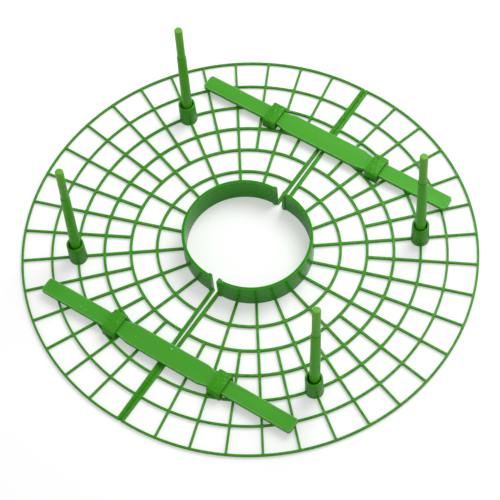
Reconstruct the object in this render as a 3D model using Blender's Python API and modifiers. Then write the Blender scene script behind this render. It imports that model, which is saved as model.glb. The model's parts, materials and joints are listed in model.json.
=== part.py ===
"""Strawberry plant support: two half-round grids, two locking bars and four two-piece stakes.

It lies as it does on a bench before use, grid down, with the collar, the cups and the stakes
standing up. X runs along the bars and Y along the split between the halves. The origin is on the
surface under the middle of the collar. The right half is modelled at +X, and the left half is the
same moulding turned half round.
"""
from math import acos, asin, cos, pi, radians, sin, tan

import bmesh
import bpy

# Rings and spokes of one half, in metres and radians
rim_radius = 0.1491
collar_radius = 0.0402
ring_pitch = 0.01775
spoke_pitch = radians(9.08)
centre_offset = 0.0043
rib_width = 0.0018
rib_height = 0.0020
edge_rib_width = 0.0024

# Clearance between pieces that touch, and the split between the halves
fit_gap = 0.0003
split_gap_at_collar = 0.0021
split_gap_at_bar = 0.0012

# Collar round the plant, with a thicker post at each end
collar_wall = 0.0022
collar_height = 0.0185
collar_end_gap = 0.0044
collar_post_length = 0.0024
collar_post_step = 0.0007

# Flat bars, which widen by a straight taper on each side between the sleeves
bar_length = 0.1960
bar_width = 0.0111
bar_thickness = 0.0030
bar_corner_radius = 0.0020
bar_edge_bevel = 0.0004
bar_taper_width = 0.00175
bar_taper_length = 0.0080
bar_play = 0.0010

# Sleeves that the bars run through
sleeve_x = 0.0414
sleeve_y = 0.0961
sleeve_length = 0.0096
sleeve_wall = 0.0027
sleeve_roof = 0.0016
sleeve_floor_rise = 0.0010
sleeve_corner_radius = 0.0018

# Stakes: a tapered tube with a thinner peg pushed into its top
tube_length = 0.0714
tube_foot_radius = 0.0037
tube_top_radius = 0.0031
tube_wall = 0.0012
tube_foot_chamfer = 0.0005
peg_length = 0.0295
peg_radius = 0.0027
peg_spigot_length = 0.0120
peg_tip_chamfer = 0.0005

# Cups that hold the stakes, whose bores flare upwards
cup_spoke = 4
cup_height = 0.0180
cup_floor_rise = 0.0003
cup_wall = 0.00126
cup_draft = 0.00045
cup_flare = radians(1.85)

# How far each stake leans in its cup towards +X and towards +Y, in degrees
stake_leans = {
    ("left", "back"): (1.50, 0.0),
    ("left", "front"): (0.45, 1.65),
    ("right", "back"): (0.60, -1.05),
    ("right", "front"): (1.05, 2.55),
}
signs = {"left": -1, "right": 1, "front": -1, "back": 1}

# Fineness of the round shapes
arc_step = spoke_pitch / 2
cup_sides = 24
stake_sides = 20
corner_steps = 4
smooth_angle = radians(35)
weld_distance = 1e-7

# Colours of the moulded plastic
grid_green = (0.042, 0.315, 0.011)
bar_green = (0.050, 0.350, 0.013)
stake_green = (0.050, 0.290, 0.014)


def ring_radii():
    """Centre lines of the rings between the collar and the rim, whose last band may be wider."""
    least_band = 0.6 * ring_pitch
    count = int((rim_radius - collar_radius - least_band) / ring_pitch)
    return [collar_radius + (index + 1) * ring_pitch for index in range(count)]


def spokes_each_side():
    """Number of spokes on each side of the middle one that stay clear of the split edge."""
    least_cell = 0.45 * spoke_pitch
    return int((pi / 2 - least_cell) / spoke_pitch)


def cup_centre():
    """Centre of a cup on the right half, where its spoke crosses the last ring but one."""
    ring = ring_radii()[-2]
    angle = cup_spoke * spoke_pitch
    return centre_offset + ring * cos(angle), ring * sin(angle)


def slot_bottom():
    """Height of the sleeve's floor, which the bar slides on."""
    return rib_height + sleeve_floor_rise


def cup_bottom():
    """Height of the cup's floor, which the stake stands on."""
    return rib_height + cup_floor_rise


def make_material(name, colour, roughness):
    """Moulded plastic of one colour."""
    material = bpy.data.materials.new(name)
    material.use_nodes = True
    shader = material.node_tree.nodes["Principled BSDF"]
    shader.inputs["Base Color"].default_value = (*colour, 1.0)
    shader.inputs["Roughness"].default_value = roughness
    shader.inputs["Metallic"].default_value = 0.0
    return material


def arc(radius, start, end):
    """Points along an arc round the centre of the right half's rings, both ends included."""
    steps = max(1, round(abs(end - start) / arc_step))
    angles = [start + (end - start) * index / steps for index in range(steps + 1)]
    return [(centre_offset + radius * cos(angle), radius * sin(angle)) for angle in angles]


def rounded_corner(x, y, radius, start):
    """A quarter circle about a centre, turning left from the start angle."""
    angles = [start + pi / 2 * index / corner_steps for index in range(corner_steps + 1)]
    return [(x + radius * cos(angle), y + radius * sin(angle)) for angle in angles]


def angle_at(radius, x):
    """Angle at which a circle of the rings reaches a line parallel to the split, on the +Y side."""
    return acos((x - centre_offset) / radius)


def cell_side_of_edge_rib(radius):
    """Distance from the split to the far side of the edge rib, which closes up towards the rim."""
    share = (radius - collar_radius) / (rim_radius - collar_radius)
    gap = split_gap_at_collar + (fit_gap - split_gap_at_collar) * share
    return gap / 2 + edge_rib_width


def cell(inner, outer, first, last):
    """Outline of one opening between two rings and two spokes.

    The sides run half a rib from the centre lines of the spokes. A spoke given as None is the
    edge rib.
    """
    low = inner + rib_width / 2
    high = outer - rib_width / 2
    ends = []
    for radius in (low, high):
        rib_angle = asin(rib_width / 2 / radius)
        edge_angle = angle_at(radius, cell_side_of_edge_rib(radius))
        start = -edge_angle if first is None else first + rib_angle
        end = edge_angle if last is None else last - rib_angle
        ends.append((start, end))
    (low_start, low_end), (high_start, high_end) = ends
    return arc(low, low_start, low_end) + arc(high, high_end, high_start)


def cells():
    """Outlines of all the openings of a half.

    Every other spoke stops at the second ring, so the two bands inside that ring have cells
    twice as wide.
    """
    side = spokes_each_side()
    spokes = range(-side, side + 1)
    radii = [collar_radius - rib_width / 2 - collar_wall / 4, *ring_radii(), rim_radius]
    outlines = []
    for band, (inner, outer) in enumerate(zip(radii, radii[1:])):
        angles = [spoke * spoke_pitch for spoke in spokes if spoke % 2 == 0 or band >= 2]
        bounds = [None, *angles, None]
        outlines += [cell(inner, outer, first, last) for first, last in zip(bounds, bounds[1:])]
    return outlines


def grid_outline():
    """Outer edge of the grid of a half, whose split side opens up inside the bars."""
    outer = rim_radius + rib_width / 2
    inner = collar_radius - 3 * collar_wall / 4
    rim_end = angle_at(outer, fit_gap / 2)
    collar_end = angle_at(inner, collar_end_gap / 2)
    edge = [
        (fit_gap / 2, sleeve_y),
        (split_gap_at_bar / 2, sleeve_y),
        (split_gap_at_collar / 2, collar_radius + rib_width),
    ]
    mirrored_edge = [(x, -y) for x, y in reversed(edge)]
    return arc(outer, -rim_end, rim_end) + edge + arc(inner, collar_end, -collar_end) + mirrored_edge


def collar_outline():
    """Plan of half of the collar, which stops short of the split and has a thicker post at each end."""
    inner = collar_radius - collar_wall
    end = angle_at(collar_radius, collar_end_gap / 2)
    post = end - collar_post_length / collar_radius
    post_outer = collar_radius + collar_post_step
    post_inner = inner - collar_post_step
    outside = arc(post_outer, -end, -post) + arc(collar_radius, -post, post) + arc(post_outer, post, end)
    inside = arc(post_inner, end, post) + arc(inner, post, -post) + arc(post_inner, -post, -end)
    return outside + inside


def sleeve_outlines():
    """Section of a sleeve across its bar: a block with round shoulders, and the slot for the bar."""
    half_slot = bar_width / 2 + fit_gap
    bottom = slot_bottom()
    roof = bottom + bar_thickness + 2 * fit_gap
    half_block = half_slot + sleeve_wall
    corner = sleeve_corner_radius
    corner_y = half_block - corner
    corner_z = roof + sleeve_roof - corner
    block = (
        [(-half_block, 0.0), (half_block, 0.0)]
        + rounded_corner(corner_y, corner_z, corner, 0.0)
        + rounded_corner(-corner_y, corner_z, corner, pi / 2)
    )
    slot = [(-half_slot, bottom), (half_slot, bottom), (half_slot, roof), (-half_slot, roof)]
    return [block, slot]


def bar_outline():
    """Plan of a bar: round corners at its ends, and a wide stretch that tapers towards the sleeves.

    The wide stretch just clears the right sleeve, and has the bar's play at the left one.
    """
    half_width = bar_width / 2
    wide_half = half_width + bar_taper_width
    taper_right = sleeve_x - sleeve_length / 2 - fit_gap
    taper_left = bar_play - taper_right
    end_x = bar_length / 2 - bar_corner_radius
    end_y = half_width - bar_corner_radius
    wide_edge = [
        (taper_right, half_width),
        (taper_right - bar_taper_length, wide_half),
        (taper_left + bar_taper_length, wide_half),
        (taper_left, half_width),
    ]
    right_end = rounded_corner(end_x, end_y, bar_corner_radius, 0.0)
    left_end = rounded_corner(-end_x, end_y, bar_corner_radius, pi / 2)
    back_edge = right_end + wide_edge + left_end
    return back_edge + [(x, -y) for x, y in reversed(back_edge)]


def solid_from(source, name):
    """The evaluated shape of an object as a welded mesh, with the object's place in the mesh."""
    bpy.context.view_layer.update()
    evaluated = source.evaluated_get(bpy.context.evaluated_depsgraph_get())
    mesh = bpy.data.meshes.new_from_object(evaluated)
    mesh.transform(source.matrix_world)
    mesh.name = name
    work = bmesh.new()
    work.from_mesh(mesh)
    bmesh.ops.remove_doubles(work, verts=work.verts, dist=weld_distance)
    work.to_mesh(mesh)
    work.free()
    return mesh


def plate(name, outlines, height):
    """Mesh of a flat plate that stands on z = 0, from a filled 2D curve whose inner outlines are holes."""
    curve = bpy.data.curves.new(name, "CURVE")
    curve.dimensions = "2D"
    curve.fill_mode = "BOTH"
    curve.extrude = height / 2
    for outline in outlines:
        spline = curve.splines.new("POLY")
        spline.points.add(len(outline) - 1)
        for point, (x, y) in zip(spline.points, outline):
            point.co = (x, y, 0.0, 1.0)
        spline.use_cyclic_u = True
    drawing = bpy.data.objects.new(name + "_drawing", curve)
    drawing.location.z = height / 2
    bpy.context.scene.collection.objects.link(drawing)
    mesh = solid_from(drawing, name)
    bpy.data.objects.remove(drawing)
    bpy.data.curves.remove(curve)
    return mesh


def cone(name, base_radius, top_radius, height):
    """Mesh of a closed cone frustum that stands on z = 0."""
    mesh = bpy.data.meshes.new(name)
    work = bmesh.new()
    bmesh.ops.create_cone(
        work, cap_ends=True, segments=cup_sides, radius1=base_radius, radius2=top_radius, depth=height)
    bmesh.ops.translate(work, verts=work.verts, vec=(0.0, 0.0, height / 2))
    work.to_mesh(mesh)
    work.free()
    return mesh


def add_object(collection, mesh, location=(0.0, 0.0, 0.0), rotation=(0.0, 0.0, 0.0)):
    """An object named like its mesh, at its place in a collection."""
    thing = bpy.data.objects.new(mesh.name, mesh)
    thing.location = location
    thing.rotation_euler = rotation
    collection.objects.link(thing)
    return thing


def add_sleeve(bodies, side):
    """A sleeve over the ribs of the right half. Its section stands across the bar."""
    mesh = plate("sleeve", sleeve_outlines(), sleeve_length)
    place = (sleeve_x - sleeve_length / 2, side * sleeve_y, 0.0)
    add_object(bodies, mesh, place, (pi / 2, 0.0, pi / 2))


def add_cup(bodies, cutters, side):
    """A cup on a crossing of the ribs, and the flared bore in it."""
    x, y = cup_centre()
    bottom = cup_bottom()
    bore_base = tube_foot_radius + fit_gap
    bore_mouth = bore_base + (cup_height - bottom) * tan(cup_flare)
    outer_mouth = bore_mouth + cup_wall
    add_object(bodies, cone("cup", outer_mouth + cup_draft, outer_mouth, cup_height), (x, side * y, 0.0))

    overshoot = fit_gap
    bore_top = bore_mouth + overshoot * tan(cup_flare)
    bore = cone("cup_bore", bore_base, bore_top, cup_height - bottom + overshoot)
    add_object(cutters, bore, (x, side * y, bottom))


def helper_collection(name):
    """A collection for the shapes that are joined to the grid or cut from it."""
    collection = bpy.data.collections.new(name)
    bpy.context.scene.collection.children.link(collection)
    return collection


def add_boolean(target, collection, operation):
    """Join or cut the target with everything in a collection."""
    modifier = target.modifiers.new(operation.lower(), "BOOLEAN")
    modifier.operand_type = "COLLECTION"
    modifier.collection = collection
    modifier.operation = operation
    modifier.solver = "EXACT"


def grid_half_mesh():
    """Mesh of one half: the grid, half of the collar, two cups and two sleeves in one body."""
    bodies = helper_collection("joined_to_grid")
    cutters = helper_collection("cut_from_grid")
    add_object(bodies, plate("collar", [collar_outline()], collar_height))
    for side in (1, -1):
        add_sleeve(bodies, side)
        add_cup(bodies, cutters, side)

    grid = add_object(bpy.context.scene.collection, plate("grid", [grid_outline(), *cells()], rib_height))
    add_boolean(grid, bodies, "UNION")
    add_boolean(grid, cutters, "DIFFERENCE")
    mesh = solid_from(grid, "grid_half")
    for helper in [grid, *bodies.objects, *cutters.objects]:
        bpy.data.objects.remove(helper)
    for collection in (bodies, cutters):
        bpy.data.collections.remove(collection)
    return mesh


def make_grid_halves(parts, material):
    """The two halves of the grid, which share one moulding. The left one is turned half round."""
    mesh = grid_half_mesh()
    mesh.materials.append(material)
    for across, turn in (("right", 0.0), ("left", pi)):
        half = add_object(parts, mesh, rotation=(0.0, 0.0, turn))
        half.name = "grid_half_" + across


def merge_flat_faces(mesh):
    """Turn the triangles of each flat face into one face, so that a bevel runs round its edge."""
    work = bmesh.new()
    work.from_mesh(mesh)
    bmesh.ops.dissolve_limit(work, angle_limit=radians(0.5), verts=work.verts, edges=work.edges)
    work.to_mesh(mesh)
    work.free()


def make_bar(along, parts, material):
    """A flat bar that lies in the sleeves of both halves."""
    mesh = plate("locking_bar_" + along, [bar_outline()], bar_thickness)
    merge_flat_faces(mesh)
    mesh.materials.append(material)
    bar = add_object(parts, mesh, (0.0, signs[along] * sleeve_y, slot_bottom() + fit_gap))
    bevel = bar.modifiers.new("soft_edges", "BEVEL")
    bevel.width = bar_edge_bevel
    bevel.segments = 1
    bevel.limit_method = "ANGLE"
    bevel.angle_limit = radians(60)


def turned(name, profile, parts, material):
    """A round piece turned about its Z axis from a profile that runs over its top and down its side."""
    mesh = bpy.data.meshes.new(name)
    points = [(radius, 0.0, height) for radius, height in profile]
    mesh.from_pydata(points, [(index, index + 1) for index in range(len(points) - 1)], [])
    mesh.materials.append(material)
    piece = add_object(parts, mesh)
    screw = piece.modifiers.new("turn", "SCREW")
    screw.steps = stake_sides
    screw.render_steps = stake_sides
    screw.use_merge_vertices = True
    screw.merge_threshold = weld_distance
    return piece


def tube_profile():
    """Outline of a stake's tube: a tapered rod with a bore in its top for the peg's spigot."""
    bore = tube_top_radius - tube_wall
    bore_bottom = tube_length - peg_spigot_length - 2 * fit_gap
    return [
        (0.0, bore_bottom),
        (bore, bore_bottom),
        (bore, tube_length),
        (tube_top_radius, tube_length),
        (tube_foot_radius, tube_foot_chamfer),
        (tube_foot_radius - tube_foot_chamfer, 0.0),
        (0.0, 0.0),
    ]


def peg_profile():
    """Outline of a peg: its shaft stands on the end of the tube, and its spigot goes down the bore."""
    spigot = tube_top_radius - tube_wall - fit_gap
    return [
        (0.0, peg_length),
        (peg_radius - peg_tip_chamfer, peg_length),
        (peg_radius, peg_length - peg_tip_chamfer),
        (peg_radius, 0.0),
        (spigot, 0.0),
        (spigot, -peg_spigot_length),
        (0.0, -peg_spigot_length),
    ]


def make_stake(across, along, parts, material):
    """A tube in the cup of one corner, and the peg in its top. Both follow one leaning axis."""
    x, y = cup_centre()
    lean_x, lean_y = stake_leans[across, along]
    axis = bpy.data.objects.new(f"stake_axis_{across}_{along}", None)
    axis.location = (signs[across] * x, signs[along] * y, cup_bottom() + fit_gap)
    axis.rotation_euler = (-radians(lean_y), radians(lean_x), 0.0)
    bpy.context.scene.collection.objects.link(axis)

    tube = turned(f"stake_tube_{across}_{along}", tube_profile(), parts, material)
    tube.parent = axis
    peg = turned(f"stake_peg_{across}_{along}", peg_profile(), parts, material)
    peg.parent = axis
    peg.location.z = tube_length + fit_gap


def main():
    for old in list(bpy.data.objects):
        bpy.data.objects.remove(old)
    parts = bpy.data.collections.new("strawberry_plant_support")
    bpy.context.scene.collection.children.link(parts)

    make_grid_halves(parts, make_material("grid_plastic", grid_green, 0.35))
    bar_material = make_material("bar_plastic", bar_green, 0.40)
    for along in ("back", "front"):
        make_bar(along, parts, bar_material)
    stake_material = make_material("stake_plastic", stake_green, 0.35)
    for across, along in stake_leans:
        make_stake(across, along, parts, stake_material)

    for piece in parts.objects:
        if piece.data.polygons:
            piece.data.shade_smooth()
            piece.data.set_sharp_from_angle(angle=smooth_angle)


main()
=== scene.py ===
import json
from math import atan2, cos, pi, radians, sin

import bmesh
import bpy
import numpy as np
from mathutils import Matrix, Vector


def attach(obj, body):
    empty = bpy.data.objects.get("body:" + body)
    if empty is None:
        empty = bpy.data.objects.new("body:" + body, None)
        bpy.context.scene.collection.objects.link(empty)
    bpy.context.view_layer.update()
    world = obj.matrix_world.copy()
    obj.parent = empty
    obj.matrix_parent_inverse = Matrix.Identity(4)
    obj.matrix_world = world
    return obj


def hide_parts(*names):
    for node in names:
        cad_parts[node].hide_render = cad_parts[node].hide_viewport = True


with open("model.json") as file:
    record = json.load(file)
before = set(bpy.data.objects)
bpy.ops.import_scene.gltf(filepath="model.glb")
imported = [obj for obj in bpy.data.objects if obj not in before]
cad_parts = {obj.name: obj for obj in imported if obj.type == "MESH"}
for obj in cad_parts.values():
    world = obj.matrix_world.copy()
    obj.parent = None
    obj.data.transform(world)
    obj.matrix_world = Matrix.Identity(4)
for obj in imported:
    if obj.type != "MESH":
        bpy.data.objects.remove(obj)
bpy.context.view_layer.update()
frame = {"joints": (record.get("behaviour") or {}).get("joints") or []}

# Rings and spokes of one half
rim_radius = 0.1491
collar_radius = 0.0402
ring_pitch = 0.01775
rings_between = 5
spoke_pitch = radians(9.08)
spokes_each_side = 9
centre_offset = 0.0043

# Cells of the inner bands, which span more than one step from spoke to spoke
wide_bands = 2
wide_cell_spans = 2

# Ribs, which narrow between two distances from the middle of the rings
rib_width = 0.0018
outer_rib_width = 0.0015
narrow_from = 0.0934
narrow_to = 0.1290
rib_height = 0.0020
edge_rib_width = 0.0024
rib_edge_radius = 0.00045
cell_corner_radius = 0.0007

# Clearance between pieces that touch, and the split between the halves
fit_gap = 0.0003
split_gap_at_collar = 0.0021
split_gap_at_bar = 0.0012

# Collar, with a thicker post at each end
collar_wall = 0.0022
collar_height = 0.0185
collar_end_gap = 0.0050
collar_edge_radius = 0.0003
collar_post_length = 0.0024
collar_post_step = 0.0007

# How far the ring hidden in the collar's wall reaches outwards and inwards from its middle line
hidden_ring_cover = 0.0001
hidden_ring_out = collar_wall / 2 - hidden_ring_cover
hidden_ring_in = collar_wall / 4

# Bars, which widen by a straight taper on each side between the sleeves
bar_length = 0.1960
bar_width = 0.0111
bar_thickness = 0.0030
bar_corner_radius = 0.0020
bar_edge_radius = 0.00045
bar_taper_width = 0.00175
bar_taper_length = 0.0080
bar_play = 0.0010

# How far the pale round edge of a bar, a painted highlight, reaches into its flat face, in radii of
# the edge
bar_edge_spread = 0.8

# Round dots left by the mould on each bar, painted pale all over as glints: how far from its
# middle, and their radius
bar_dots = {
    "front": [
        (0.0012, 0.0038, 0.0011),
        (-0.0240, -0.0009, 0.0005),
        (-0.0675, -0.0020, 0.0007),
        (-0.0640, -0.0023, 0.0006),
    ],
    "back": [(-0.0717, 0.0028, 0.0006)],
}

# Height of a dot, in radii of the dot
dot_rise = 0.6

# Sleeves, each with a slot that a bar runs through
sleeve_x = 0.0414
sleeve_y = 0.0961
sleeve_length = 0.0096
sleeve_wall = 0.0027
sleeve_roof = 0.0009
sleeve_shoulder_radius = 0.0018
sleeve_foot_radius = 0.0004
sleeve_edge_radius = 0.00035
slot_rise = 0.0010
slot_height = 0.0048
slot_corner_radius = 0.0005
slot_bottom = rib_height + slot_rise
slot_top = slot_bottom + slot_height
slot_half_width = bar_width / 2 + fit_gap
sleeve_top = slot_top + sleeve_roof
sleeve_half_width = slot_half_width + sleeve_wall

# Where the bars lie in the slots, and where their tapers begin on the right and on the left
bar_bottom = slot_bottom + fit_gap
bar_taper_to = sleeve_x - sleeve_length / 2 - fit_gap
bar_taper_from = bar_play - bar_taper_to

# Stakes: a tapered tube, and a thinner peg whose spigot stands in the tube's bore
tube_length = 0.0714
tube_foot_radius = 0.0037
tube_top_radius = 0.0031
tube_wall = 0.0012
tube_bore_radius = tube_top_radius - tube_wall
peg_length = 0.0295
peg_radius = 0.0027
peg_spigot_length = 0.0120
peg_spigot_radius = tube_bore_radius - fit_gap

# Cups, which narrow upwards outside, and whose bores flare round the feet of the stakes
cup_spoke = 4
cup_height = 0.0180
cup_floor_rise = 0.0003
cup_wall = 0.00126
cup_draft = 0.00045
cup_flare = 0.00051
cup_lip_radius = 0.0004
cup_floor = rib_height + cup_floor_rise
bore_floor_radius = tube_foot_radius + fit_gap
bore_mouth_radius = bore_floor_radius + cup_flare
cup_mouth_radius = bore_mouth_radius + cup_wall
cup_foot_radius = cup_mouth_radius + cup_draft
stake_foot_height = cup_floor + fit_gap

# Roundings of the stakes' edges
tube_foot_rounding = 0.0006
tube_top_rounding = 0.00035
peg_top_rounding = 0.0010
crisp_rounding = 0.0001
inner_rounding = 0.0002

# Colours of the plastic
grid_green = (0.037, 0.297, 0.005)
# The collar is moulded in one piece with the grid, and its darker, deeper green is painted shade
collar_shaded_green = (0.015, 0.280, 0.001)
bar_green = (0.075, 0.402, 0.031)
stake_green = (0.064, 0.398, 0.004)

# Share of its colour that a plastic has where its tint is deepest
deep_share = 0.86

# Paler colours of round edges, and the least and the most of them that an edge has. On the grid
# they are partly wear and partly a painted highlight; on the bars they are a painted highlight.
edge_wear_and_highlight_green = (0.120, 0.450, 0.060)
edge_wear_and_highlight = (0.25, 0.75)
bar_edge_highlight_green = (0.220, 0.580, 0.150)
bar_edge_highlight = (0.35, 1.0)

# Heights between which the stakes turn paler upwards as painted light, the paler colour, and its
# share at the top
top_light_from = 0.070
top_light_to = 0.104
top_lit_green = (0.215, 0.510, 0.070)
stake_top_light = 0.60

# Scale of the tint's pattern along X, Y and Z, where a small one draws it out into streaks
no_streak = (1.0, 1.0, 1.0)
bar_streak = (0.15, 1.0, 1.0)
stake_streak = (1.0, 1.0, 0.25)

# Roughness, and how far it goes below and above that
grid_roughness = 0.18
collar_roughness = 0.07
bar_roughness = 0.34
stake_roughness = 0.26
roughness_below = 0.06
roughness_above = 0.08

# Strength and tint of the shine, which is stronger on the collar
shine_level = 0.25
collar_shine_level = 0.60
shine_tint = (0.45, 1.0, 0.30)
plastic_ior = 1.49

# Scale, in spots to a metre, and number of finer layers of each pattern in the plastic
tint_noise = (60.0, 3.0)
wear_and_highlight_noise = (350.0, 2.0)
roughness_noise = (220.0, 3.0)
grain_noise = (1400.0, 4.0)
swell_noise = (350.0, 2.0)

# Values between which most of a noise lies
noise_low = 0.3
noise_high = 0.7

# Strength and height of the fine grain and of the slow waves in the skin
grain_strength = 0.12
grain_height = 0.0002
swell_strength = 1.0
grid_swell = 0.0006

# Light
white = (1.0, 1.0, 1.0, 1.0)
sky_strength = 0.55
lamp_bearing = radians(83)
lamp_height = radians(55)
lamp_distance = 1.0
lamp_size = 0.68
lamp_energy = 5.6

# Floor
floor_reach = 4.0
floor_drop = 0.0002
floor_grey = 0.75
floor_roughness = 0.9
floor_lift = 0.36

# Camera: what it looks at, where it stands from there, its roll, and its sizes in millimetres
camera_target = Vector((0.001955, -0.001342, 0.001))
camera_offset = Vector((0.37565, -0.46239, 1.02085))
camera_roll = radians(-6.606)
film_width = 36.0
lens_length = 127.06

# How far from the camera things are seen
view_near = 0.05
view_far = 20.0

# Steps of a quarter turn and of a ring from spoke to spoke, and sides of a round piece
round_steps = 4
steps_per_spoke = 4
turned_sides = 40

# Where a spoke's side has points between two rings, as shares of the way
side_shares = (0.2, 0.8)

# How far inside a round edge the row lies that keeps the flat face flat, in radii of the edge
usual_flat_row = 0.12

# Turn of a section from which an edge is fully pale (wear and painted highlight), and distance
# within which points are welded
full_edge_turn = radians(30)
weld_distance = 1e-6

# Side of the middle on which each half, bar, sleeve, cup and stake lies
signs = {"left": -1, "right": 1, "front": -1, "back": 1}


def quarter():
    """Angles of a quarter turn, both ends included."""
    return np.linspace(0.0, pi / 2, round_steps + 1)


def joined(parts):
    """The columns of several parts, each put end to end."""
    return [np.concatenate(column) for column in zip(*parts)]


def at_levels(x, y, level):
    """Points by row and column, with one height for each row."""
    return np.stack([x, y, np.broadcast_to(level[:, None], x.shape)], axis=-1)


def grid_faces(rows, columns, wrap_rows, wrap_columns):
    """Corner numbers of the four-sided faces between the points of a grid, as one array."""
    row = np.arange(rows if wrap_rows else rows - 1)[:, None]
    column = np.arange(columns if wrap_columns else columns - 1)[None, :]
    next_row = (row + 1) % rows
    next_column = (column + 1) % columns
    corners = (
        row * columns + column,
        row * columns + next_column,
        next_row * columns + next_column,
        next_row * columns + column,
    )
    return np.stack(np.broadcast_arrays(*corners), axis=-1).reshape(-1, 4)


def section_turn(patch, wrap_rows):
    """How sharply the section turns at each point: 0 on a flat face, 1 from the full turn upwards.

    The turn is the angle between the steps before and after the point from row to row, whose
    cosine is their dot product over the product of their lengths.
    """
    before = patch - np.roll(patch, 1, axis=0)
    after = np.roll(patch, -1, axis=0) - patch
    lengths = np.linalg.norm(before, axis=-1) * np.linalg.norm(after, axis=-1)
    still = lengths < weld_distance ** 2
    cosine = np.sum(before * after, axis=-1) / np.where(still, 1.0, lengths)
    turn = np.where(still, 0.0, np.arccos(np.clip(cosine, -1.0, 1.0)))
    if not wrap_rows:
        turn[[0, -1]] = 0.0
    return np.clip(turn / full_edge_turn, 0.0, 1.0)


def make_piece(name, patches, material, body, node):
    """One closed mesh from patches of points, welded where they meet, which rides on a body.

    A patch is an array of points by row and column, and says whether its rows and its columns
    close on themselves. It may also say how pale each point is painted, as wear and as a highlight;
    otherwise its round edges are the pale ones. The attribute "edge" keeps that for the material.
    """
    points = []
    faces = []
    edges = []
    first = 0
    for patch, wrap_rows, wrap_columns, *worn_and_lit in patches:
        rows, columns = patch.shape[:2]
        points.append(patch.reshape(-1, 3))
        faces.append(grid_faces(rows, columns, wrap_rows, wrap_columns) + first)
        edges.append(worn_and_lit[0].ravel() if worn_and_lit else section_turn(patch, wrap_rows).ravel())
        first += rows * columns
    mesh = bpy.data.meshes.new(name)
    mesh.from_pydata(np.concatenate(points).tolist(), [], np.concatenate(faces).tolist())
    mesh.attributes.new("edge", "FLOAT", "POINT").data.foreach_set("value", np.concatenate(edges))
    work = bmesh.new()
    work.from_mesh(mesh)
    bmesh.ops.remove_doubles(work, verts=work.verts, dist=weld_distance)
    bmesh.ops.recalc_face_normals(work, faces=work.faces)
    work.to_mesh(mesh)
    work.free()
    mesh.shade_smooth()
    mesh.materials.append(material)
    piece = bpy.data.objects.new(name, mesh)
    bpy.context.scene.collection.objects.link(piece)
    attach(piece, body)
    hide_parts(node)


def make_half_piece(name, patches, material, across):
    """A piece that is moulded on one half of the grid."""
    make_piece(name, patches, material, "half_" + across, "grid_half_" + across)


def rounded_section(height, edge, flat_row_share=usual_flat_row):
    """Insets from the wall and heights of a wall with round edges, from its top to its bottom.

    Each round edge is a quarter circle, with one more row inside it that keeps the flat face
    flat. The share says how far inside that row lies, in radii of the edge.
    """
    turn = quarter()
    inset_top = edge * (1 - np.sin(turn))
    height_top = height - edge * (1 - np.cos(turn))
    flat_row = [edge * (1 + flat_row_share)]
    inset = np.concatenate([flat_row, inset_top, inset_top[::-1], flat_row])
    level = np.concatenate([[height], height_top, height - height_top[::-1], [0.0]])
    return inset, level


# Grid of ribs

def ring_radii():
    """Centre lines of all the rings, from the middle of the collar's wall to the rim."""
    between = collar_radius + ring_pitch * np.arange(1, rings_between + 1)
    return np.concatenate([[collar_radius - collar_wall / 2], between, [rim_radius]])


def split_gap(radius):
    """Width of the split that places the edge ribs' middle lines. It closes evenly."""
    share = (radius - collar_radius) / (rim_radius - collar_radius)
    return split_gap_at_collar + (fit_gap - split_gap_at_collar) * share


def split_edge(y):
    """Half the width of the split at a distance from the middle. Its sides touch past the bars."""
    y = np.abs(y)
    half_widths = [split_gap_at_collar / 2, split_gap_at_bar / 2]
    open_part = np.interp(y, [collar_radius, sleeve_y], half_widths)
    return np.where(y > sleeve_y, fit_gap / 2, open_part)


def rib_half(radius):
    """Half the width of a rib, which narrows evenly between two distances from the middle."""
    return np.interp(radius, [narrow_from, narrow_to], [rib_width / 2, outer_rib_width / 2])


def edge_rib_angle(radius, inward):
    """Angle at which a circle meets the line that runs a distance inside the edge rib's middle."""
    middle = split_gap(radius) / 2 + edge_rib_width / 2
    return np.arccos((middle + inward - centre_offset) / radius)


def ring_knots(radius):
    """Angles of the points on a ring: the spokes, the edge ribs and equal steps between them."""
    spokes = spoke_pitch * np.arange(-spokes_each_side, spokes_each_side + 1)
    edge = edge_rib_angle(radius, 0.0)
    lines = np.concatenate([[-edge], spokes, [edge]])
    places = np.arange((len(lines) - 1) * steps_per_spoke + 1) / steps_per_spoke
    return np.interp(places, np.arange(len(lines)), lines)


def plan(radius, angle):
    """Points of the right half from their distance and angle about the middle of its rings."""
    return centre_offset + radius * np.cos(angle), radius * np.sin(angle)


def opening_outline(low_shares, high_shares):
    """Where the points of an opening's outline lie, for any size of opening.

    The result is four arrays with a number for each point: whether it belongs to the near or the
    far spoke (0 to 1 along a ring) and to the inner or the outer ring (0 to 1 along a spoke), and
    how far into the fillet it lies from that spoke and from that ring.
    """
    turn = quarter()
    away = 1 - np.cos(turn)
    towards = 1 - np.sin(turn)
    one = np.ones_like(turn)
    sides = np.array(side_shares)

    def straight(across, along, from_spoke, from_ring):
        """Points on one straight side of the opening."""
        return [np.broadcast_to(part, max(np.size(across), np.size(along)))
                for part in (across, along, from_spoke, from_ring)]

    pieces = [
        (0 * one, 0 * one, away, towards),
        straight(low_shares, 0.0, 1.0, 0.0),
        (one, 0 * one, towards, away),
        straight(1.0, sides, 0.0, 1.0),
        (one, one, away, towards),
        straight(high_shares[::-1], 1.0, 1.0, 0.0),
        (0 * one, one, towards, away),
        straight(0.0, sides[::-1], 0.0, 1.0),
    ]
    return joined(pieces)


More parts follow.
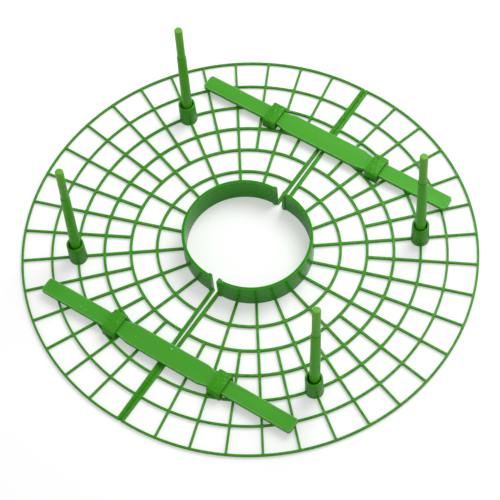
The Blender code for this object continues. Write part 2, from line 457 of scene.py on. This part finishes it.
def cell_patch(radii, knots, at_edges, half_rings):
    """The ribs round one opening, each up to its middle line, as a closed band of points.

    Columns run round the opening. Rows run from the middle lines over the top edge, down the
    wall and back under to the middle lines. A point's distance from each middle line is half the
    rib's width, less its inset, plus its share of the fillet. The radii, the angles of the knots
    and the half widths are those of the inner and the outer ring, and a side at an edge has the
    edge rib for its spoke. The half widths of the spokes follow from the distance to the middle.
    """
    low, high = radii
    low_knots, high_knots = knots
    near_edge, far_edge = at_edges
    inner, outer = half_rings
    low_shares = (low_knots[1:-1] - low_knots[0]) / (low_knots[-1] - low_knots[0])
    high_shares = (high_knots[1:-1] - high_knots[0]) / (high_knots[-1] - high_knots[0])
    across, along, from_spoke, from_ring = opening_outline(low_shares, high_shares)
    half_ring = inner + (outer - inner) * along
    half_spoke = rib_half(low + (high - low) * along)
    at_edge = (across == 0) & near_edge | (across == 1) & far_edge
    half_spoke = np.where(at_edge, edge_rib_width / 2, half_spoke)

    inset, level = rounded_section(rib_height, rib_edge_radius)
    inset = inset[:, None]
    fillet = cell_corner_radius + inset
    spoke_distance = half_spoke - inset + fillet * from_spoke
    ring_distance = half_ring - inset + fillet * from_ring
    middle = np.zeros((1, len(across)))
    spoke_distance = np.concatenate([middle, spoke_distance, middle])
    ring_distance = np.concatenate([middle, ring_distance, middle])
    level = np.concatenate([[rib_height], level, [0.0]])

    radius = (1 - along) * (low + ring_distance) + along * (high - ring_distance)
    near_angle = side_angle(radius, spoke_distance, low_knots[0], -1 if near_edge else 0, 1)
    far_angle = side_angle(radius, spoke_distance, low_knots[-1], 1 if far_edge else 0, -1)
    angle = near_angle + (far_angle - near_angle) * across
    x, y = plan(radius, angle)
    return at_levels(x, y, level)


def side_angle(radius, distance, spoke, edge_side, direction):
    """Angle of a point at a distance from a spoke, or from the edge rib on one side of the half."""
    if edge_side:
        return edge_side * edge_rib_angle(radius, distance)
    return spoke + direction * np.arcsin(distance / radius)


def grid_cells():
    """Patches of all the cells of a half. The inner bands have wide cells."""
    radii = ring_radii()
    half_rings = rib_half(radii)
    half_rings[0] = hidden_ring_out
    patches = []
    for band, (low, high) in enumerate(zip(radii, radii[1:])):
        spans = wide_cell_spans if band < wide_bands else 1
        step = spans * steps_per_spoke
        low_knots = ring_knots(low)
        high_knots = ring_knots(high)
        starts = range(0, len(low_knots) - 1, step)
        half_widths = half_rings[band:band + 2]
        for start in starts:
            window = slice(start, start + step + 1)
            knots = (low_knots[window], high_knots[window])
            at_edges = (start == 0, start == starts[-1])
            patch = cell_patch((low, high), knots, at_edges, half_widths)
            patches.append((patch, False, True))
    return patches


def grid_border():
    """Patch of the outer side of the rim, the split edges and the ring inside the collar.

    A path follows the middle lines once round the half. Each point moves outwards, square to the
    path, by half the rib's width less the inset. At a corner the direction turns in steps about
    one point.
    """
    radii = ring_radii()
    shares = np.array([0.0, *side_shares])
    along_split = (radii[:-1, None] + np.diff(radii)[:, None] * shares).ravel()
    along_split = np.append(along_split, radii[-1])
    turn = quarter()[1:-1]

    rim = ring_knots(radii[-1])
    rim_x, rim_y = plan(radii[-1], rim)
    rim_half = outer_rib_width / 2
    rim_part = [rim_x, rim_y, rim, np.full_like(rim, rim_half)]

    split_x, split_y = plan(along_split, edge_rib_angle(along_split, 0.0))
    split_half = split_x - split_edge(split_y)
    down = slice(None, None, -1)
    split_part = [split_x[down], split_y[down], np.full_like(split_x, pi), split_half[down]]

    inner = ring_knots(radii[0])
    inner_x, inner_y = plan(radii[0], inner)
    inner_half = np.full_like(inner, hidden_ring_in)
    inner_part = [inner_x[down], inner_y[down], inner[down] + pi, inner_half]

    split_back = [split_x, -split_y, np.full_like(split_x, -pi), split_half]

    def corner(x, y, start, end, first_half, last_half):
        """The steps in which the direction turns at one point."""
        share = turn / (pi / 2)
        one = np.ones_like(turn)
        heading = start + (end - start) * share
        half = first_half + (last_half - first_half) * share
        return [x * one, y * one, heading, half]

    parts = [
        rim_part,
        corner(split_x[-1], split_y[-1], rim[-1], pi, rim_half, split_half[-1]),
        split_part,
        corner(split_x[0], split_y[0], pi, inner[-1] + pi, split_half[0], hidden_ring_in),
        inner_part,
        corner(split_x[0], -split_y[0], inner[0] + pi, pi, hidden_ring_in, split_half[0]),
        split_back,
        corner(split_x[-1], -split_y[-1], -pi, rim[0], split_half[-1], rim_half),
    ]
    x, y, heading, half = joined(parts)
    inset, level = rounded_section(rib_height, min(rib_edge_radius, hidden_ring_in))
    out = half - inset[:, None]
    middle = np.zeros((1, len(x)))
    out = np.concatenate([middle, out, middle])
    level = np.concatenate([[rib_height], level, [0.0]])
    x = x + out * np.cos(heading)
    y = y + out * np.sin(heading)
    return at_levels(x, y, level), False, True


def turned_half(patches, across):
    """The patches of the right half, or the same turned half round for the left one."""
    turn = np.array([signs[across], signs[across], 1.0])
    return [(patch * turn, wrap_rows, wrap_columns) for patch, wrap_rows, wrap_columns in patches]


def make_grid(across, material):
    """The ribs of one half, welded into one surface."""
    patches = turned_half([*grid_cells(), grid_border()], across)
    make_half_piece("ribs_" + across, patches, material, across)


# Solids with a flat plan

def pillow(outline_x, outline_y, heading, middle_x, middle_y, height, edge,
           flat_row_share=usual_flat_row):
    """A closed solid over a plan outline, with round top and bottom edges.

    Rows run from the middle line over the top, down the wall and back. Each outline point moves
    in, square to the outline, by the inset of its row.
    """
    inset, level = rounded_section(height, edge, flat_row_share)
    inset = inset[:, None]
    x = outline_x - inset * np.cos(heading)
    y = outline_y - inset * np.sin(heading)
    x = np.concatenate([middle_x[None, :], x, middle_x[None, :]])
    y = np.concatenate([middle_y[None, :], y, middle_y[None, :]])
    level = np.concatenate([[height], level, [0.0]])
    return at_levels(x, y, level), False, True


def corner_points(x, y, radius, start):
    """A quarter circle about a centre, turning left from a start angle, with its headings."""
    heading = start + quarter()
    return x + radius * np.cos(heading), y + radius * np.sin(heading), heading


def collar_patch():
    """Half of the collar: a wall along an arc, with a thicker post at each end.

    The outline of a post is worked out in distances across the wall, from its middle line, and
    along it, from the start of the post. It turns at square corners, which are rounded where they
    stick out. The arc then bends these distances: the one along the wall becomes an angle.
    """
    middle = collar_radius - collar_wall / 2
    half = collar_wall / 2
    side = half + collar_post_step - collar_edge_radius
    near = collar_edge_radius
    far = collar_post_length - collar_edge_radius
    parts = [
        ([half], [0.0], [-pi / 4]),
        corner_points(side, near, collar_edge_radius, -pi / 2),
        corner_points(side, far, collar_edge_radius, 0.0),
        corner_points(-side, far, collar_edge_radius, pi / 2),
        corner_points(-side, near, collar_edge_radius, pi),
        ([-half], [0.0], [pi + pi / 4]),
    ]
    across, along, turn = joined(parts)
    end = np.arccos((collar_end_gap / 2 - centre_offset) / collar_radius)
    start = end - collar_post_length / middle
    place = start + along / middle
    middle_place = start + np.clip(along, 0.0, collar_post_length / 2) / middle

    wall = np.linspace(-start, start, 2 * spokes_each_side * steps_per_spoke + 1)[1:-1]
    half_wall = np.full_like(wall, half)
    back = slice(None, None, -1)
    out = np.concatenate([half_wall, across, -half_wall, across[back]])
    angle = np.concatenate([wall, place, wall[back], -place[back]])
    heading = np.concatenate([wall, place + turn, wall[back] + pi, -(place + turn)[back]])
    middle_angle = np.concatenate([wall, middle_place, wall[back], -middle_place[back]])
    x, y = plan(middle + out, angle)
    middle_x, middle_y = plan(middle, middle_angle)
    return pillow(x, y, heading, middle_x, middle_y, collar_height, collar_edge_radius)


def make_collar(across, material):
    """Half of the collar round the plant."""
    make_half_piece("collar_" + across, turned_half([collar_patch()], across), material, across)


def bar_patch(along):
    """A flat bar with round corners, wide between the sleeves. Its middle line is straight.

    Each side of a taper is one straight line. At its two ends the wall heads halfway between
    the lines that meet there. The top edge is painted pale as a highlight: fully where the rounding
    starts, and less and less down to the wall. The first two rows lie in the flat face, where the
    painted highlight fades out.
    """
    half = bar_width / 2
    wide_half = half + bar_taper_width
    end_x = bar_length / 2 - bar_corner_radius
    end_y = half - bar_corner_radius
    lean = atan2(bar_taper_width, bar_taper_length) / 2
    wide_x = (
        bar_taper_to,
        bar_taper_to - bar_taper_length,
        bar_taper_from + bar_taper_length,
        bar_taper_from,
    )
    wide_y = (half, wide_half, wide_half, half)
    wide_heading = (pi / 2 - lean, pi / 2 - lean, pi / 2 + lean, pi / 2 + lean)
    parts = [
        corner_points(end_x, end_y, bar_corner_radius, 0.0),
        (wide_x, wide_y, wide_heading),
        corner_points(-end_x, end_y, bar_corner_radius, pi / 2),
    ]
    x, y, heading = joined(parts)
    x = np.concatenate([x, x[::-1]])
    y = np.concatenate([y, -y[::-1]])
    heading = np.concatenate([heading, -heading[::-1]])
    middle_x = np.clip(x, -end_x, end_x)
    patch, wrap_rows, wrap_columns = pillow(
        x, y, heading, middle_x, 0 * x, bar_thickness, bar_edge_radius, bar_edge_spread)
    worn_and_lit = np.clip(1 - (bar_thickness - patch[..., 2]) / bar_edge_radius, 0.0, 1.0)
    worn_and_lit[:2] = 0.0
    place = np.array([0.0, signs[along] * sleeve_y, bar_bottom])
    return patch + place, wrap_rows, wrap_columns, worn_and_lit


def dot_patch(x, y, base, radius):
    """A round dot left by the mould, painted pale all over as a glint, with its foot a little way
    in the face.
    """
    angle = quarter()
    rise = dot_rise * radius
    across = np.concatenate([radius * np.sin(angle), [radius, 0.0]])
    level = np.concatenate([rise * np.cos(angle), [-rise, -rise]])
    patch, wrap_rows, wrap_columns = turned_patch(list(zip(across, level)))
    return patch + np.array([x, y, base]), wrap_rows, wrap_columns, np.ones(patch.shape[:2])


def make_bar(along, material):
    """One of the two flat bars that hold the halves together, with its dots."""
    middle = signs[along] * sleeve_y
    top = bar_bottom + bar_thickness
    dots = [dot_patch(x, middle + y, top, radius) for x, y, radius in bar_dots[along]]
    patches = [bar_patch(along), *dots]
    node = "locking_bar_" + along
    make_piece("flat_bar_" + along, patches, material, "bar_" + along, node)


# Sleeves

def loop_round(half_width, bottom, top, bottom_radius, top_radius):
    """A rectangle with round corners in the plane across the bar: points and headings."""
    upper_y = half_width - top_radius
    upper_z = top - top_radius
    lower_y = half_width - bottom_radius
    lower_z = bottom + bottom_radius
    parts = [
        corner_points(upper_y, upper_z, top_radius, 0.0),
        corner_points(-upper_y, upper_z, top_radius, pi / 2),
        corner_points(-lower_y, lower_z, bottom_radius, pi),
        corner_points(lower_y, lower_z, bottom_radius, 3 * pi / 2),
    ]
    return joined(parts)


def sleeve_patch(side):
    """A block with a slot through it, as one surface closed both ways.

    Columns run round the section. Rows run along the outside, over a round edge to the end face,
    over a round edge into the slot, back through it and out at the other end.
    """
    outer_y, outer_z, outer_heading = loop_round(
        sleeve_half_width, 0.0, sleeve_top, sleeve_foot_radius, sleeve_shoulder_radius)
    slot_y, slot_z, slot_heading = loop_round(
        slot_half_width, slot_bottom, slot_top, slot_corner_radius, slot_corner_radius)
    turn = quarter()
    half = sleeve_length / 2
    edge = sleeve_edge_radius
    edge_inset = edge * (1 - np.cos(turn))
    edge_along = half - edge * (1 - np.sin(turn))
    inset = np.concatenate([edge_inset, edge_inset[::-1]])
    along = np.concatenate([edge_along, edge_along[::-1]])
    outside = np.concatenate([np.ones_like(turn), np.zeros_like(turn)])
    inset = np.concatenate([inset, inset[::-1]])[:, None]
    along = np.concatenate([along, -along[::-1]])[:, None]
    outside = np.concatenate([outside, outside[::-1]])[:, None]

    y_outside = outer_y - inset * np.cos(outer_heading)
    z_outside = outer_z - inset * np.sin(outer_heading)
    y_slot = slot_y + inset * np.cos(slot_heading)
    z_slot = slot_z + inset * np.sin(slot_heading)
    y = outside * y_outside + (1 - outside) * y_slot
    z = outside * z_outside + (1 - outside) * z_slot
    x = sleeve_x + np.broadcast_to(along, y.shape)
    return np.stack([x, side * sleeve_y + y, z], axis=-1), True, True


def make_sleeve(across, along, material):
    """One of the four sleeves that the bars run through."""
    side = signs[across] * signs[along]
    patches = turned_half([sleeve_patch(side)], across)
    make_half_piece(f"sleeve_{across}_{along}", patches, material, across)


# Round pieces

def turned_patch(profile):
    """A surface turned about Z from a profile of radii and heights. Its poles are closed."""
    radius, height = np.array(profile).T
    angle = np.linspace(0.0, 2 * pi, turned_sides, endpoint=False)
    x = radius[:, None] * np.cos(angle)
    y = radius[:, None] * np.sin(angle)
    return at_levels(x, y, height), False, True


def rounded_profile(corners):
    """A profile whose corners are rounded: each corner has a radius, a height and a rounding.

    The rounding is a curve that starts and ends the rounding's length from the corner and leans
    towards it in the middle.
    """
    points = []
    share = np.linspace(0.0, 1.0, round_steps + 1)[:, None]
    for before, corner, after in zip([corners[0], *corners], corners, [*corners[1:], corners[-1]]):
        here = np.array(corner[:2])
        rounding = corner[2]
        if rounding == 0.0:
            points.append(here[None, :])
            continue
        back = np.array(before[:2]) - here
        ahead = np.array(after[:2]) - here
        start = here + back / np.linalg.norm(back) * rounding
        end = here + ahead / np.linalg.norm(ahead) * rounding
        curve = (1 - share) ** 2 * start + 2 * share * (1 - share) * here + share ** 2 * end
        points.append(curve)
    return np.concatenate(points)


def cup_place(across, along):
    """Middle of a cup, where its spoke crosses the last ring but one."""
    ring = collar_radius + ring_pitch * (rings_between - 1)
    x = centre_offset + ring * cos(cup_spoke * spoke_pitch)
    y = ring * sin(cup_spoke * spoke_pitch)
    return np.array([signs[across] * x, signs[along] * y, 0.0])


def make_cup(across, along, material):
    """A cup for a stake: an outer cone, a round lip and a bore that flares upwards."""
    lip = cup_lip_radius
    profile = rounded_profile([
        (0.0, 0.0, 0.0),
        (cup_foot_radius, 0.0, lip),
        (cup_mouth_radius, cup_height, lip),
        (bore_mouth_radius, cup_height, lip),
        (bore_floor_radius, cup_floor, lip),
        (0.0, cup_floor, 0.0),
    ])
    patch, wrap_rows, wrap_columns = turned_patch(profile)
    patches = [(patch + cup_place(across, along), wrap_rows, wrap_columns)]
    make_half_piece(f"cup_{across}_{along}", patches, material, across)


def stake_matrix(across, along):
    """Turn from upright to the stake's lean, from the axis that it lifts along."""
    name = f"tube_{across}_{along}_lift"
    axis = next(joint["axis"] for joint in frame["joints"] if joint["name"] == name)
    return np.array(Vector((0.0, 0.0, 1.0)).rotation_difference(Vector(axis)).to_matrix())


def make_stake(across, along, material):
    """A tapered tube that stands in a cup, and the thinner peg that stands in its top."""
    lean = stake_matrix(across, along)
    foot = cup_place(across, along) + np.array([0.0, 0.0, stake_foot_height])
    bore_bottom = tube_length - peg_spigot_length - 2 * fit_gap
    tube_profile = rounded_profile([
        (0.0, bore_bottom, 0.0),
        (tube_bore_radius, bore_bottom, inner_rounding),
        (tube_bore_radius, tube_length, crisp_rounding),
        (tube_top_radius, tube_length, tube_top_rounding),
        (tube_foot_radius, 0.0, tube_foot_rounding),
        (0.0, 0.0, 0.0),
    ])
    peg_bottom = tube_length + fit_gap
    peg_top = peg_bottom + peg_length
    spigot_bottom = peg_bottom - peg_spigot_length
    peg_profile = rounded_profile([
        (0.0, peg_top, 0.0),
        (peg_radius, peg_top, peg_top_rounding),
        (peg_radius, peg_bottom, crisp_rounding),
        (peg_spigot_radius, peg_bottom, crisp_rounding),
        (peg_spigot_radius, spigot_bottom, inner_rounding),
        (0.0, spigot_bottom, 0.0),
    ])
    corner = f"{across}_{along}"
    for part, profile in (("tube", tube_profile), ("peg", peg_profile)):
        name = f"{part}_{corner}"
        patch, wrap_rows, wrap_columns = turned_patch(profile)
        patches = [(patch @ lean.T + foot, wrap_rows, wrap_columns)]
        make_piece(name, patches, material, name, "stake_" + name)


# Plastic

def noise(tree, place, scale, detail):
    """An even noise about a middle value, from its scale and its number of finer layers."""
    node = tree.nodes.new("ShaderNodeTexNoise")
    node.inputs["Scale"].default_value = scale
    node.inputs["Detail"].default_value = detail
    tree.links.new(place, node.inputs["Vector"])
    return node.outputs["Fac"]


def ranged(tree, source, low, high, start=noise_low, end=noise_high):
    """A value that goes evenly from low to high while its source goes from start to end."""
    node = tree.nodes.new("ShaderNodeMapRange")
    node.inputs["From Min"].default_value = start
    node.inputs["From Max"].default_value = end
    node.inputs["To Min"].default_value = low
    node.inputs["To Max"].default_value = high
    tree.links.new(source, node.inputs["Value"])
    return node.outputs["Result"]


def bump(tree, source, strength, height):
    """A skin that rises and falls with its source."""
    node = tree.nodes.new("ShaderNodeBump")
    node.inputs["Strength"].default_value = strength
    node.inputs["Distance"].default_value = height
    tree.links.new(source, node.inputs["Height"])
    return node


def turn_to(tree, colour, share):
    """A mix with the given share of a colour. The rest of it is what the caller puts in A."""
    node = tree.nodes.new("ShaderNodeMix")
    node.data_type = "RGBA"
    node.inputs["B"].default_value = (*colour, 1.0)
    tree.links.new(share, node.inputs["Factor"])
    return node


def tinted(tree, place, colour, streak):
    """The colour with slow changes of tint, whose pattern is stretched by the streak."""
    stretched = tree.nodes.new("ShaderNodeVectorMath")
    stretched.operation = "MULTIPLY"
    stretched.inputs[1].default_value = streak
    tree.links.new(place, stretched.inputs[0])
    share = ranged(tree, noise(tree, stretched.outputs["Vector"], *tint_noise), 0.0, 1.0)
    tint = turn_to(tree, colour, share)
    tint.inputs["A"].default_value = (*(deep_share * part for part in colour), 1.0)
    return tint.outputs["Result"]


def lit_towards_top(tree, place, source, top_light):
    """The colour of the source, paler with height up to the given share at the top: painted light.
    """
    height = tree.nodes.new("ShaderNodeSeparateXYZ")
    tree.links.new(place, height.inputs["Vector"])
    share = ranged(tree, height.outputs["Z"], 0.0, top_light, top_light_from, top_light_to)
    lightened = turn_to(tree, top_lit_green, share)
    tree.links.new(source, lightened.inputs["A"])
    return lightened.outputs["Result"]


def rubbed_and_highlighted(tree, place, source, pale, wear_and_highlight):
    """The colour of the source, paler by an uneven share where the mesh marks a pale edge: wear,
    and a painted highlight.
    """
    edge = tree.nodes.new("ShaderNodeAttribute")
    edge.attribute_name = "edge"
    worn_and_lit = tree.nodes.new("ShaderNodeMath")
    worn_and_lit.operation = "MULTIPLY"
    tree.links.new(edge.outputs["Fac"], worn_and_lit.inputs[0])
    tree.links.new(ranged(tree, noise(tree, place, *wear_and_highlight_noise), *wear_and_highlight), worn_and_lit.inputs[1])
    paler = turn_to(tree, pale, worn_and_lit.outputs["Value"])
    tree.links.new(source, paler.inputs["A"])
    return paler.outputs["Result"]


def skin(tree, place, swell):
    """The skin of the plastic: slow waves, as high as the swell, with a fine grain on them."""
    grain = bump(tree, noise(tree, place, *grain_noise), grain_strength, grain_height)
    waves = bump(tree, noise(tree, place, *swell_noise), swell_strength, swell)
    tree.links.new(grain.outputs["Normal"], waves.inputs["Normal"])
    return waves.outputs["Normal"]


def plastic(name, colour, roughness, streak=no_streak, top_light=0.0, swell=0.0,
            pale=edge_wear_and_highlight_green, wear_and_highlight=edge_wear_and_highlight, shine=shine_level):
    """Moulded plastic: slow changes of tint, paler round edges as wear and painted highlight, a
    fine skin and an uneven shine.

    The streak scales the pattern of the tint along each axis, so that a small one draws it out
    into streaks along that axis. One argument gives the share of the paler colour at the top of the
    stakes, which is painted light. The swell is the height of slow waves in the skin, which break
    up the shine on flat faces. The round edges have between the two shares of the pale colour,
    which stands for wear and a painted highlight. The shine is the strength of what the surface
    reflects.
    """
    material = bpy.data.materials.new(name)
    material.use_nodes = True
    tree = material.node_tree
    shader = tree.nodes["Principled BSDF"]
    place = tree.nodes.new("ShaderNodeTexCoord").outputs["Object"]

    surface = tinted(tree, place, colour, streak)
    surface = lit_towards_top(tree, place, surface, top_light)
    surface = rubbed_and_highlighted(tree, place, surface, pale, wear_and_highlight)
    tree.links.new(surface, shader.inputs["Base Color"])

    smoothest = roughness - roughness_below
    roughest = roughness + roughness_above
    uneven = ranged(tree, noise(tree, place, *roughness_noise), smoothest, roughest)
    tree.links.new(uneven, shader.inputs["Roughness"])
    tree.links.new(skin(tree, place, swell), shader.inputs["Normal"])
    shader.inputs["IOR"].default_value = plastic_ior
    shader.inputs["Specular IOR Level"].default_value = shine
    shader.inputs["Specular Tint"].default_value = (*shine_tint, 1.0)
    return material


# Scene

def make_floor():
    """A white sheet under the object. What the camera sees of it is lifted towards white."""
    mesh = bpy.data.meshes.new("white_floor")
    sides = ((-1, -1), (1, -1), (1, 1), (-1, 1))
    corners = [(x * floor_reach, y * floor_reach, -floor_drop) for x, y in sides]
    mesh.from_pydata(corners, [], [(0, 1, 2, 3)])
    floor = bpy.data.objects.new("white_floor", mesh)
    bpy.context.scene.collection.objects.link(floor)
    material = bpy.data.materials.new("white_sheet")
    material.use_nodes = True
    tree = material.node_tree
    shader = tree.nodes["Principled BSDF"]
    shader.inputs["Base Color"].default_value = (floor_grey, floor_grey, floor_grey, 1.0)
    shader.inputs["Roughness"].default_value = floor_roughness
    shader.inputs["Specular IOR Level"].default_value = 0.0
    shader.inputs["Emission Color"].default_value = white
    path = tree.nodes.new("ShaderNodeLightPath")
    lift = tree.nodes.new("ShaderNodeMath")
    lift.operation = "MULTIPLY"
    lift.inputs[1].default_value = floor_lift
    tree.links.new(path.outputs["Is Camera Ray"], lift.inputs[0])
    tree.links.new(lift.outputs["Value"], shader.inputs["Emission Strength"])
    mesh.materials.append(material)


def light_scene():
    """Soft light from all round, and a round softbox behind the object that gives the shadows."""
    world = bpy.data.worlds.new("soft_white")
    bpy.context.scene.world = world
    world.use_nodes = True
    background = world.node_tree.nodes["Background"]
    background.inputs["Color"].default_value = white
    background.inputs["Strength"].default_value = sky_strength

    lamp = bpy.data.lights.new("softbox", "AREA")
    lamp.shape = "DISK"
    lamp.size = lamp_size
    lamp.energy = lamp_energy
    light = bpy.data.objects.new("softbox", lamp)
    bpy.context.scene.collection.objects.link(light)
    across = cos(lamp_height)
    direction = Vector((cos(lamp_bearing) * across, sin(lamp_bearing) * across, sin(lamp_height)))
    light.location = direction * lamp_distance
    light.rotation_mode = "QUATERNION"
    light.rotation_quaternion = direction.to_track_quat("Z", "Y")


def place_camera():
    """The camera of the photograph: high over the front right, rolled a little."""
    back = camera_offset.normalized()
    level = Vector((0.0, 0.0, 1.0)).cross(back).normalized()
    up = back.cross(level)
    right = level * cos(camera_roll) + up * sin(camera_roll)
    top = up * cos(camera_roll) - level * sin(camera_roll)
    turn = Matrix((right, top, back)).transposed().to_4x4()
    data = bpy.data.cameras.new("camera")
    data.sensor_width = film_width
    data.lens = lens_length
    data.clip_start = view_near
    data.clip_end = view_far
    camera = bpy.data.objects.new("camera", data)
    camera.matrix_world = Matrix.Translation(camera_target + camera_offset) @ turn
    bpy.context.scene.collection.objects.link(camera)
    bpy.context.scene.camera = camera


def main():
    """The whole scene: four kinds of plastic, the pieces of both halves, the bars and the stage."""
    bpy.context.scene.view_settings.view_transform = "Standard"
    # The collar's darker green is painted shade, the bars' pale edges are a painted highlight, and
    # the stakes' paler tops are painted light
    grid_plastic = plastic("green_grid", grid_green, grid_roughness, swell=grid_swell)
    collar_plastic = plastic(
        "green_collar", collar_shaded_green, collar_roughness, shine=collar_shine_level)
    bar_plastic = plastic(
        "green_bar", bar_green, bar_roughness, bar_streak, pale=bar_edge_highlight_green, wear_and_highlight=bar_edge_highlight)
    stake_plastic = plastic("green_stake", stake_green, stake_roughness, stake_streak, stake_top_light)
    for across in ("left", "right"):
        make_grid(across, grid_plastic)
        make_collar(across, collar_plastic)
        for along in ("front", "back"):
            make_sleeve(across, along, grid_plastic)
            make_cup(across, along, grid_plastic)
            make_stake(across, along, stake_plastic)
    for along in ("front", "back"):
        make_bar(along, bar_plastic)
    make_floor()
    light_scene()
    place_camera()


main()
